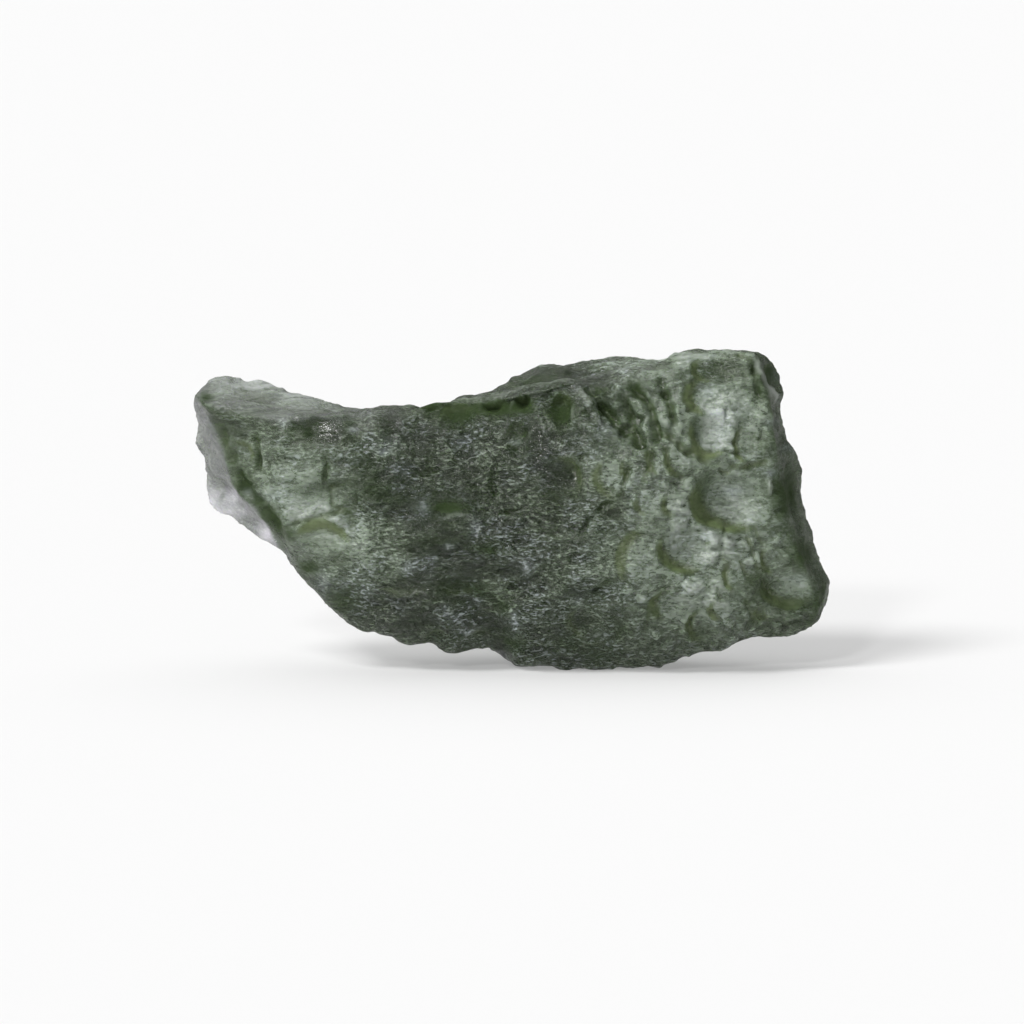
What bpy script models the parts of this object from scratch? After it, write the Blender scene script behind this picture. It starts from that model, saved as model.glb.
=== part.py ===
# A moldavite: one piece of natural green glass with an etched, pitted skin.
# It is a slab that stands on a small flat spot on its lower edge. X runs along it, Z is up,
# and its broad pitted face looks towards -Y.
#
# The solid starts as a box cut into a lattice. The box's twelve edges become the stone's
# ridges, its six sides become patches stretched between them, and scoops, grooves, lumps
# and low waves are then pressed into the patches.

import math

import bmesh
import bpy
from mathutils import Vector, noise

# Driving dimensions. All sizes below are millimetres on a stone of this length.
MM = 0.001
LENGTH = 30.0
DRAWN_LENGTH = 30.0
UNIT = MM * LENGTH / DRAWN_LENGTH

# The flat spot that it rests on
FLAT_LEFT = 0.2
FLAT_RIGHT = 6.2

# How far the middle of each broad face stands out from its ridges
FRONT_BULGE = 1.6
BACK_BULGE = 2.3

# The shares of the length over which the slab thickens from its thin left end and from
# its blunt right end
LEFT_TAPER = 0.42
RIGHT_TAPER = 0.2

# The slab bows and wanders in plan
BOW = 0.5
BOW_LENGTH = 13.0
WANDER_SIZE = 7.0
WANDER = 0.45

# Waves and small lumps of the whole skin: their size, and how far they rise and fall
WAVE_SIZE = 2.9
WAVE_RISE = 0.34
LUMP_SIZE = 1.3
LUMP_RISE = 0.16

# How many cells the lattice has along the stone, through it and up it
CELLS_ALONG = 62
CELLS_THROUGH = 9
CELLS_UP = 25

# Heights of ridge points are read square to a line of sight that looks down by this
# angle, so a point further back stands lower than its number says.
VIEW_TILT = math.radians(8.0)
FLOOR_HEIGHT = 0.34

# Ridges. Each point is (along, seen height, depth), and depth grows towards the back.
# The top ledge lies between the first two, from the left end to the right end.
TOP_RIDGE = [
    (-14.6, 12.9, -1.6), (-14.2, 12.4, -1.9), (-13.1, 12.2, -2.2), (-12.0, 12.0, -2.5),
    (-10.7, 11.9, -2.6), (-9.2, 12.2, -2.6), (-7.9, 12.1, -2.6), (-7.2, 11.8, -2.5),
    (-6.3, 12.3, -2.5), (-4.5, 12.3, -2.6), (-2.2, 12.7, -2.8), (-1.0, 12.8, -3.0),
    (0.8, 13.2, -3.0), (2.3, 13.6, -3.0), (3.2, 13.5, -3.2), (4.3, 13.4, -3.1),
    (5.8, 14.1, -2.8), (6.7, 14.3, -2.5), (7.9, 14.7, -2.2), (8.9, 14.9, -2.0),
    (10.1, 14.9, -1.9), (11.3, 14.9, -2.1),
]
TOP_BACK = [
    (-14.7, 13.4, 0.6), (-14.2, 13.8, 0.8), (-13.3, 14.1, 1.1), (-12.5, 13.8, 1.3),
    (-11.7, 13.85, 1.5), (-10.6, 13.3, 1.5), (-9.3, 12.95, 1.3), (-7.9, 12.6, 1.0),
    (-6.9, 12.3, 0.9), (-6.0, 12.35, 0.9), (-4.0, 12.6, 1.2), (-2.8, 12.85, 1.5),
    (-1.1, 13.3, 1.9), (-0.2, 13.8, 2.1), (0.5, 14.2, 2.2), (1.6, 14.6, 2.2),
    (2.4, 14.5, 2.1), (4.2, 14.9, 1.9), (5.2, 15.0, 1.7), (6.5, 14.8, 1.7),
    (7.2, 14.8, 1.8), (8.0, 15.2, 1.9), (9.8, 15.25, 1.7), (10.9, 15.1, 1.4),
    (11.9, 14.9, 1.2), (12.4, 14.6, 1.1),
]
FRONT_BOTTOM = [
    (-10.8, 6.0, -1.4), (-10.15, 5.2, -1.4), (-10.1, 4.7, -1.4), (-9.2, 3.8, -1.6),
    (-8.3, 2.9, -1.7), (-7.9, 2.2, -1.6), (-6.4, 1.8, -1.6), (-5.3, 1.4, -1.8),
    (-3.8, 1.4, -1.9), (-3.1, 0.8, -1.7), (-2.2, 1.0, -1.6), (-0.7, 1.1, -1.8),
    (-0.2, 0.6, -1.9), (0.2, 0.1, -1.9), (2.0, 0.1, -2.0), (4.0, 0.1, -2.0),
    (6.2, 0.1, -1.9), (7.1, 0.4, -1.8), (7.9, 0.6, -1.7), (8.8, 1.0, -1.7),
    (9.7, 1.0, -1.7), (10.8, 1.6, -1.6), (12.7, 1.7, -1.6), (13.9, 2.1, -1.4),
]
BACK_BOTTOM = [
    (-14.5, 7.9, 1.3), (-12.6, 8.7, 1.5), (-10.7, 8.4, 1.7), (-8.8, 6.4, 1.7),
    (-6.6, 3.9, 1.5), (-3.6, 2.5, 1.4), (-0.9, 1.9, 1.5), (0.2, 0.56, 1.6),
    (2.0, 0.56, 1.6), (4.0, 0.56, 1.6), (6.2, 0.56, 1.6), (8.4, 1.6, 1.6),
    (11.0, 2.4, 1.4), (13.3, 2.9, 1.2), (14.8, 3.2, 0.9),
]
LEFT_FRONT = [
    (-10.8, 6.0, -1.4), (-11.2, 6.7, -1.6), (-11.9, 7.6, -1.8), (-12.5, 8.1, -1.9),
    (-12.9, 8.5, -1.9), (-13.3, 10.0, -1.8), (-13.9, 11.5, -1.7), (-14.6, 12.9, -1.6),
]
LEFT_BACK = [
    (-14.5, 7.9, 1.3), (-14.6, 8.6, 1.1), (-14.5, 9.5, 1.0), (-14.6, 10.2, 0.9),
    (-15.0, 10.8, 0.8), (-15.0, 12.6, 0.7), (-14.7, 13.4, 0.6),
]
RIGHT_FRONT = [
    (13.9, 2.1, -1.4), (14.5, 2.9, -1.7), (14.4, 3.8, -2.0), (13.8, 4.9, -2.4),
    (13.3, 6.0, -2.6), (12.9, 7.2, -2.8), (12.5, 8.6, -2.9), (12.3, 10.3, -2.8),
    (12.2, 11.7, -2.6), (12.0, 12.9, -2.5), (11.6, 13.8, -2.3), (11.3, 14.9, -2.1),
]
RIGHT_BACK = [
    (14.8, 3.2, 0.9), (15.0, 4.0, 0.6), (14.8, 4.9, 0.4), (14.3, 6.0, 0.5),
    (13.8, 7.7, 0.7), (13.6, 9.6, 0.6), (13.4, 10.5, 0.5), (12.9, 10.9, 0.6),
    (12.65, 12.2, 0.8), (12.6, 13.6, 1.0), (12.4, 14.6, 1.1),
]
LEFT_TOP = [(-14.6, 12.9, -1.6), (-14.9, 13.1, -0.5), (-14.7, 13.4, 0.6)]
LEFT_BOTTOM = [
    (-10.8, 6.0, -1.4), (-11.6, 6.2, -0.9), (-12.5, 6.7, -0.3), (-13.3, 7.3, 0.4),
    (-14.5, 7.9, 1.3),
]
RIGHT_TOP = [(11.3, 14.9, -2.1), (11.9, 15.0, -0.4), (12.4, 14.6, 1.1)]
RIGHT_BOTTOM = [(13.9, 2.1, -1.4), (14.45, 2.6, -0.3), (14.8, 3.2, 0.9)]

# Scoops. Each is (along, seen height, radius, depth, side), where side is the angle of the
# steep wall: 0 is to the right, 90 up, 180 to the left and 270 down.
FRONT_SCOOPS = [
    (9.4, 14.0, 1.0, 0.35, 250), (9.5, 11.4, 1.3, 0.55, 215), (11.1, 10.7, 1.0, 0.45, 190),
    (10.3, 8.2, 1.9, 0.9, 205), (9.1, 6.0, 2.1, 0.6, 220), (13.3, 4.3, 1.9, 0.8, 215),
    (6.0, 12.4, 2.3, 0.8, 190), (2.0, 12.3, 0.9, 0.5, 180), (5.0, 6.7, 1.6, 0.4, 135),
    (4.8, 3.5, 1.1, 0.35, 135), (7.4, 2.8, 1.0, 0.35, 180), (9.1, 2.4, 0.9, 0.35, 180),
    (-8.6, 7.3, 2.0, 0.35, 60), (-8.9, 11.3, 1.1, 0.3, 90), (-1.2, 4.4, 2.0, 0.3, 300),
    (-5.0, 9.6, 2.0, 0.3, 100),
]
FRONT_LUMPS = [
    (-2.7, 6.8, 1.1, 0.3), (0.4, 5.0, 1.0, 0.25), (9.1, 9.6, 0.6, 0.3), (7.9, 9.9, 0.6, 0.25),
    (7.0, 2.1, 0.9, 0.25), (-3.5, 3.4, 1.6, 0.25), (2.6, 9.2, 1.8, 0.25),
]
# Grooves between the leaning ribs. Each is one end, the other end, half width and depth.
FRONT_GROOVES = [
    ((3.9, 13.0), (5.8, 10.9), 0.45, 0.4), ((5.2, 12.8), (6.2, 10.6), 0.4, 0.35),
    ((6.5, 12.7), (6.7, 11.0), 0.4, 0.35), ((7.1, 13.4), (7.6, 11.0), 0.4, 0.35),
    ((6.6, 3.4), (6.4, 2.0), 0.4, 0.3),
]
BACK_SCOOPS = [
    (-12.0, 11.4, 1.3, 0.4, 150), (-9.4, 9.4, 2.0, 0.7, 215), (-6.2, 10.6, 1.6, 0.5, 100),
    (-6.8, 6.0, 1.8, 0.6, 240), (-3.4, 8.2, 2.3, 0.8, 195), (-2.6, 4.2, 1.5, 0.5, 280),
    (0.6, 11.4, 2.0, 0.7, 130), (1.4, 6.8, 2.4, 0.9, 210), (2.6, 3.0, 1.4, 0.4, 250),
    (4.8, 10.2, 1.5, 0.5, 60), (6.4, 6.0, 2.0, 0.7, 300), (7.8, 12.6, 1.8, 0.6, 140),
    (9.4, 8.8, 2.2, 0.8, 220), (9.6, 3.8, 1.5, 0.5, 255), (12.2, 6.4, 1.6, 0.5, 200),
    (11.6, 11.8, 1.2, 0.4, 90),
]
BACK_LUMPS = [
    (-11.6, 9.0, 1.0, 0.3), (-4.6, 11.6, 0.8, 0.3), (-0.8, 6.0, 0.9, 0.3), (4.2, 7.9, 1.0, 0.3),
    (7.4, 10.0, 0.9, 0.3), (11.6, 9.6, 0.8, 0.25),
]
# On the top and the underside a scoop's second number is its depth in the stone, and on
# the two ends its first is.
TOP_SCOOPS = [
    (-11.4, -0.4, 1.7, 0.3, 200), (-8.2, -0.8, 1.2, 0.2, 20), (-3.6, -0.6, 1.8, 0.25, 160),
    (0.6, -0.2, 1.4, 0.3, 80), (3.9, -0.9, 1.6, 0.35, 190), (6.6, 0.1, 1.2, 0.25, 300),
    (9.6, -0.2, 1.4, 0.3, 210),
]
UNDER_SCOOPS = [
    (-9.2, 0.2, 1.4, 0.3, 60), (-5.6, 0.0, 1.3, 0.3, 150), (-2.2, -0.1, 1.1, 0.25, 20),
    (8.6, 0.0, 1.2, 0.25, 170), (11.6, -0.2, 1.3, 0.3, 200),
]
LEFT_SCOOPS = [(-0.4, 8.6, 1.0, 0.2, 90), (-0.3, 11.2, 1.2, 0.15, 270)]
RIGHT_SCOOPS = [
    (-0.9, 8.6, 1.7, 0.3, 190), (-0.9, 5.6, 1.1, 0.25, 200), (-0.4, 12.8, 1.2, 0.2, 150),
]
STEEP_WALL = 0.34
GENTLE_WALL = 0.95

GLASS_COLOUR = (0.085, 0.115, 0.075, 1.0)
GLASS_ROUGHNESS = 0.28


def clear_scene():
    for item in list(bpy.data.objects):
        bpy.data.objects.remove(item, do_unlink=True)


def smooth(value):
    """Eases from 0 to 1."""
    value = min(max(value, 0.0), 1.0)
    return value * value * (3.0 - 2.0 * value)


def ridge_at(points, share):
    """The point at a share of a ridge's length, on a smooth curve through its points."""
    lengths = [math.dist(a, b) for a, b in zip(points, points[1:])]
    target = share * sum(lengths)
    index = 0
    while index < len(lengths) - 1 and target > lengths[index]:
        target -= lengths[index]
        index += 1
    t = target / lengths[index]
    before = Vector(points[max(index - 1, 0)])
    start = Vector(points[index])
    end = Vector(points[index + 1])
    after = Vector(points[min(index + 2, len(points) - 1)])
    slope = (end - before) * t
    bend = (2.0 * before - 5.0 * start + 4.0 * end - after) * t ** 2
    twist = (3.0 * (start - end) + after - before) * t ** 3
    return start + 0.5 * (slope + bend + twist)


def patch(low, high, left, right, s, t):
    """A surface stretched between four ridges: s runs along it, t from low to high."""
    across = ridge_at(low, s).lerp(ridge_at(high, s), t)
    along = ridge_at(left, t).lerp(ridge_at(right, t), s)
    low_line = Vector(low[0]).lerp(Vector(low[-1]), s)
    high_line = Vector(high[0]).lerp(Vector(high[-1]), s)
    return across + along - low_line.lerp(high_line, t)


def rim_fade(share):
    """1 in the middle of a patch and 0 on its rim."""
    return 1.0 - (2.0 * share - 1.0) ** 4


def thickening(u, v):
    """How much of its full bulge a broad face has here."""
    return smooth(u / LEFT_TAPER) * smooth((1.0 - u) / RIGHT_TAPER) * rim_fade(v)


def scoop_depth(a, b, scoop):
    """How deep one scoop is here: a steep wall on one side and a gentle slope on the other."""
    centre_a, centre_b, radius, depth, side = scoop
    away = math.hypot(a - centre_a, b - centre_b) / radius
    angle = math.atan2(b - centre_b, a - centre_a) - math.radians(side)
    facing = 0.5 + 0.5 * math.cos(angle)
    wall = GENTLE_WALL + (STEEP_WALL - GENTLE_WALL) * facing
    return depth * smooth((1.0 - away) / wall)


def lump_height(a, b, lump):
    centre_a, centre_b, radius, rise = lump
    away = math.hypot(a - centre_a, b - centre_b) / radius
    return rise * smooth(1.0 - away)


def groove_depth(a, b, groove):
    (a0, b0), (a1, b1), half_width, depth = groove
    run = (a1 - a0) ** 2 + (b1 - b0) ** 2
    share = ((a - a0) * (a1 - a0) + (b - b0) * (b1 - b0)) / run
    share = min(max(share, 0.0), 1.0)
    away = math.hypot(a - a0 - share * (a1 - a0), b - b0 - share * (b1 - b0))
    return depth * smooth(1.0 - away / half_width)


def relief(a, b, scoops, lumps=(), grooves=()):
    """How far a face is pressed in here, in millimetres."""
    depth = max(scoop_depth(a, b, scoop) for scoop in scoops)
    depth += sum(groove_depth(a, b, groove) for groove in grooves)
    return depth - sum(lump_height(a, b, lump) for lump in lumps)


def skin_noise(point):
    """The low waves and small lumps of the whole skin, in millimetres."""
    waves = WAVE_RISE * noise.noise(point / WAVE_SIZE)
    return waves + LUMP_RISE * noise.noise(point / LUMP_SIZE)


def broad_face(u, v, front):
    if front:
        point = patch(FRONT_BOTTOM, TOP_RIDGE, LEFT_FRONT, RIGHT_FRONT, u, v)
        pressed = relief(point.x, point.y, FRONT_SCOOPS, FRONT_LUMPS, FRONT_GROOVES)
        outwards, bulge = -1.0, FRONT_BULGE
    else:
        point = patch(BACK_BOTTOM, TOP_BACK, LEFT_BACK, RIGHT_BACK, u, v)
        pressed = relief(point.x, point.y, BACK_SCOOPS, BACK_LUMPS)
        outwards, bulge = 1.0, BACK_BULGE
    fade = rim_fade(u) * rim_fade(v)
    rise = bulge * thickening(u, v) + fade * (skin_noise(point) - pressed)
    point.z += outwards * rise
    return point


def narrow_face(u, w, top):
    """The top ledge or the underside."""
    if top:
        point = patch(TOP_RIDGE, TOP_BACK, LEFT_TOP, RIGHT_TOP, u, w)
        rise = skin_noise(point) - relief(point.x, point.z, TOP_SCOOPS)
        point.y += rim_fade(u) * rim_fade(w) * rise
    else:
        point = patch(FRONT_BOTTOM, BACK_BOTTOM, LEFT_BOTTOM, RIGHT_BOTTOM, u, w)
        pressed = relief(point.x, point.z, UNDER_SCOOPS)
        point.y += rim_fade(u) * rim_fade(w) * pressed
    return point


def end_face(w, v, left):
    if left:
        point = patch(LEFT_BOTTOM, LEFT_TOP, LEFT_FRONT, LEFT_BACK, w, v)
        outwards, scoops = -1.0, LEFT_SCOOPS
    else:
        point = patch(RIGHT_BOTTOM, RIGHT_TOP, RIGHT_FRONT, RIGHT_BACK, w, v)
        outwards, scoops = 1.0, RIGHT_SCOOPS
    pressed = relief(point.z, point.y, scoops)
    point.x -= outwards * rim_fade(w) * rim_fade(v) * pressed
    return point


def stone_point(u, w, v):
    """Where a point of the box's skin goes: u along, w from front to back, v up."""
    if w in (0.0, 1.0):
        point = broad_face(u, v, front=w == 0.0)
    elif v in (0.0, 1.0):
        point = narrow_face(u, w, top=v == 1.0)
    else:
        point = end_face(w, v, left=u == 0.0)
    x, height, depth = point
    depth += BOW * math.cos(x / BOW_LENGTH * math.pi)
    depth += WANDER * noise.noise(Vector((x, height, 0.0)) / WANDER_SIZE)
    z = (height - FLOOR_HEIGHT - depth * math.sin(VIEW_TILT)) / math.cos(VIEW_TILT)
    if v == 0.0 and FLAT_LEFT <= x <= FLAT_RIGHT:
        z = 0.0
    return x * UNIT, depth * UNIT, max(z, 0.0) * UNIT


def cut_box(bm, axis, cells):
    """Cuts every edge that runs along one axis into equal cells."""
    runs = [e for e in bm.edges if abs((e.verts[0].co - e.verts[1].co)[axis]) > 0.5]
    bmesh.ops.subdivide_edges(bm, edges=runs, cuts=cells - 1, use_grid_fill=True)


def centre_over_origin(bm):
    """Puts the origin under the middle of the stone's box."""
    for axis in (0, 1):
        values = [vert.co[axis] for vert in bm.verts]
        middle = 0.5 * (min(values) + max(values))
        for vert in bm.verts:
            vert.co[axis] -= middle


def glass_material():
    material = bpy.data.materials.new("moldavite_glass")
    material.use_nodes = True
    shader = material.node_tree.nodes["Principled BSDF"]
    shader.inputs["Base Color"].default_value = GLASS_COLOUR
    shader.inputs["Roughness"].default_value = GLASS_ROUGHNESS
    shader.inputs["Metallic"].default_value = 0.0
    return material


def make_stone(collection):
    mesh = bpy.data.meshes.new("moldavite")
    bm = bmesh.new()
    bmesh.ops.create_cube(bm, size=1.0)
    for axis, cells in enumerate((CELLS_ALONG, CELLS_THROUGH, CELLS_UP)):
        cut_box(bm, axis, cells)
    for vert in bm.verts:
        u, w, v = (round(value + 0.5, 6) for value in vert.co)
        vert.co = stone_point(u, w, v)
    centre_over_origin(bm)
    bm.to_mesh(mesh)
    bm.free()
    mesh.materials.append(glass_material())
    mesh.shade_smooth()
    stone = bpy.data.objects.new("moldavite", mesh)
    collection.objects.link(stone)
    return stone


def main():
    clear_scene()
    collection = bpy.data.collections.new("moldavite")
    bpy.context.scene.collection.children.link(collection)
    make_stone(collection)


main()
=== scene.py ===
import math
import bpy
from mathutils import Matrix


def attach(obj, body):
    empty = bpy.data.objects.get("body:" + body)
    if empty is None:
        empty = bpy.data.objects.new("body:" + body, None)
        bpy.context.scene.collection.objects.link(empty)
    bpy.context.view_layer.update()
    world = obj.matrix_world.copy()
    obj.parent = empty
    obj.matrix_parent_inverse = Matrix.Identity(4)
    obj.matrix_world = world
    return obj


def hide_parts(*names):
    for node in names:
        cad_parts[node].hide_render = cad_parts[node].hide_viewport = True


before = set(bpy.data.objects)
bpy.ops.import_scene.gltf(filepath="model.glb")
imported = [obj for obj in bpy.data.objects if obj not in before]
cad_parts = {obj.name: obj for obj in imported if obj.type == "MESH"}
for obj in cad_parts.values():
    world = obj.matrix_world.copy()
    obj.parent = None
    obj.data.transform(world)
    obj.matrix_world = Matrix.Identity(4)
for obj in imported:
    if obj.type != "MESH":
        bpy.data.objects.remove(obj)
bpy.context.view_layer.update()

from types import SimpleNamespace

import bpy
import numpy as np
from mathutils import Vector, noise

mm = 0.001

# All sizes on the stone are millimetres. Places on its broad faces are (along, seen height):
# along is X, and the seen height is read square to a line of sight that looks down a little.
viewTilt = math.radians(8)
seenFloor = 0.32

stone = {
    "skinStep": 0.120,           # side of the fine skin's squares
    "glassTint": (0.86, 0.91, 0.83, 1),
    "absorbColour": (0.28, 0.40, 0.17, 1),
    "absorbDensity": 700,        # per metre
    "glassIor": 1.49,
    "deepGreen": (0.020, 0.038, 0.008, 1),
    "bottleGreen": (0.078, 0.110, 0.056, 1),
    # the olive of bare glass, also painted as shade on bowl walls and in grooves
    "wallGreen": (0.220, 0.278, 0.132, 1),
    "greyMilk": (0.285, 0.348, 0.268, 1),
    # the pale milk of thick skin, also the colour of the painted highlights on ridges
    "paleMilk": (0.520, 0.560, 0.520, 1),
    # painted glints: the grey and green highlights on the etch grain and on the glint spots
    "glintGrey": (0.440, 0.480, 0.510, 1),
    "glintGreen": (0.360, 0.420, 0.340, 1),
    # painted glow: lilac and white light seen through the thin left end and on the ledge
    "lilac": (0.390, 0.400, 0.410, 1),
    "lilacWhite": (0.800, 0.790, 0.840, 1),
    "leastMilk": 0.18,           # milk of the plain skin, before any patches
    "bowlDepth": 1.3,            # bowls and cuts go this many times as deep as their lists say
    "cutDepth": 1.35,
    "pebbleSize": 0.80,
    "pebbleRise": 0.22,
    "knobSize": (0.42, 0.7, 0.38),
    "knobRise": 0.24,            # small knobs among the leaning ribs
    "dotSize": (0.42, 0.9, 0.36),
    "dotRise": 0.04,             # fine dots low on the front
    "etchSize": 0.28,            # height of the horizontal etch waves
    "etchRise": 0.085,
    "swellRise": 0.17,           # low swells and creases, outside the floors of the bowls
    "creaseRise": 0.17,
    "outlineRise": 0.14,         # small steps along the stone's outline
    "endRise": 0.20,             # lumps on the far side of the two ends
    "stripeRise": 0.05,          # fine stripes on the top ledge
    "ledgeRecess": 0.27,         # how deep the front falls back under the ledge
    "ledgeLip": 0.05,
    "leftSlope": 0.9,            # how steeply the two ends slant back
    "rightSlope": 0.8,
    "wander": 1.1,               # how far spots and lines wander on faces seen from the side
    "endDrift": 1.6,
    "footPress": 0.05,           # how far the lowest skin is pressed down to lie flat
}
# Where the leaning ribs and the fine dots are: (along, height, half width, half height)
ribPlace = (5.6, 12.0, 3.0, 2.3)
dotPlace = (-3.5, 3.0, 5.5, 2.3)

# Each bowl is (along, height, half width, half height, extra depth, side of the steep wall in
# degrees), where 0 is to the right, 90 up, 180 to the left and 270 down.
frontBowls = [
    (9.39, 14.25, 1.04, 0.61, 0.12, 200), (9.25, 13.02, 1.13, 0.94, 0.24, 192),
    (9.39, 11.27, 1.13, 1.18, 0.2, 232), (11.05, 10.75, 0.66, 0.95, 0.14, 188),
    (10.47, 8.11, 2.17, 1.56, 0.36, 222), (8.21, 5.8, 1.51, 1.13, 0.28, 222),
    (13.11, 4.06, 1.56, 1.08, 0.24, 238), (7.36, 3.11, 0.94, 0.8, 0.18, 180),
    (9.01, 2.17, 0.8, 0.8, 0.18, 182), (7.74, 10.05, 0.66, 0.85, 0.18, 212),
    (10, 9.67, 0.33, 0.38, 0.1, 250), (9.1, 6.18, 0.14, 0.11, 0.12, 270),
    (5.33, 6.08, 0.14, 0.1, 0.1, 90), (6.75, 10, 0.52, 0.71, 0.12, 205),
    (5.47, 9.58, 0.47, 0.57, 0.1, 195), (12.26, 5.33, 0.66, 0.75, 0.1, 200),
    (6.32, 7.92, 0.66, 0.57, 0.1, 205), (7.55, 7.92, 0.57, 0.61, 0.1, 200),
    (10.52, 4.62, 0.61, 0.85, 0.1, 190), (9.81, 2.97, 0.66, 0.61, 0.1, 200),
    (11.93, 2.88, 0.57, 0.42, 0.1, 215), (6.04, 5.33, 1.23, 1.42, 0.08, 160),
    (2.26, 9.01, 1.08, 1.13, 0.14, 35), (0.33, 11.32, 0.57, 0.42, 0.1, 120),
    (0.33, 10.52, 0.52, 0.42, 0.1, 120), (-3.87, 12.45, 0.52, 0.28, 0.24, 90),
    (-2.55, 11.93, 0.9, 0.71, 0.16, 100), (-0.9, 12.5, 0.61, 0.38, 0.34, 90),
    (0.52, 12.64, 0.42, 0.38, 0.32, 90), (2.36, 12.22, 0.61, 0.8, 0.26, 95),
    (-8.96, 5.99, 1.46, 1.23, 0.14, 80), (-12.83, 10.28, 0.75, 0.66, 0.12, 40),
    (-5.05, 4.25, 1.23, 0.57, 0.08, 270), (-1.51, 1.51, 0.9, 0.42, 0.12, 90),
    (-3.54, 1.56, 0.57, 0.61, 0.1, 90), (1.32, 0.99, 0.94, 0.42, 0.1, 90),
    (3.68, 0.99, 0.85, 0.47, 0.1, 90), (-2.69, 4.15, 0.85, 0.42, 0.08, 270),
    (4.72, 9.2, 0.94, 1.04, 0.1, 200), (3.44, 2.5, 0.94, 0.75, 0.08, 200),
]
backBowls = [
    (-12.0, 11.4, 1.3, 1.2, 0.16, 150), (-9.4, 9.4, 2.0, 1.7, 0.26, 215),
    (-6.2, 10.6, 1.6, 1.3, 0.22, 100), (-6.8, 6.0, 1.8, 1.9, 0.24, 240),
    (-3.4, 8.2, 2.3, 1.9, 0.30, 195), (-2.6, 4.2, 1.5, 1.2, 0.20, 280),
    (0.6, 11.4, 2.0, 1.5, 0.28, 130), (1.4, 6.8, 2.4, 2.1, 0.30, 210),
    (2.6, 3.0, 1.4, 1.1, 0.18, 250), (4.8, 10.2, 1.5, 1.6, 0.22, 60),
    (6.4, 6.0, 2.0, 1.7, 0.26, 300), (7.8, 12.6, 1.8, 1.4, 0.24, 140),
    (9.4, 8.8, 2.2, 1.9, 0.30, 220), (9.6, 3.8, 1.5, 1.3, 0.20, 255),
    (12.2, 6.4, 1.6, 1.7, 0.20, 200), (11.6, 11.8, 1.2, 1.3, 0.18, 90),
    (-4.4, 5.9, 0.7, 0.8, 0.14, 200), (3.9, 8.4, 0.8, 0.7, 0.16, 150),
    (-8.0, 12.0, 0.6, 0.7, 0.12, 240), (-0.9, 9.4, 0.6, 0.6, 0.12, 60),
    (8.0, 4.6, 0.7, 0.8, 0.14, 190),
]
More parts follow.
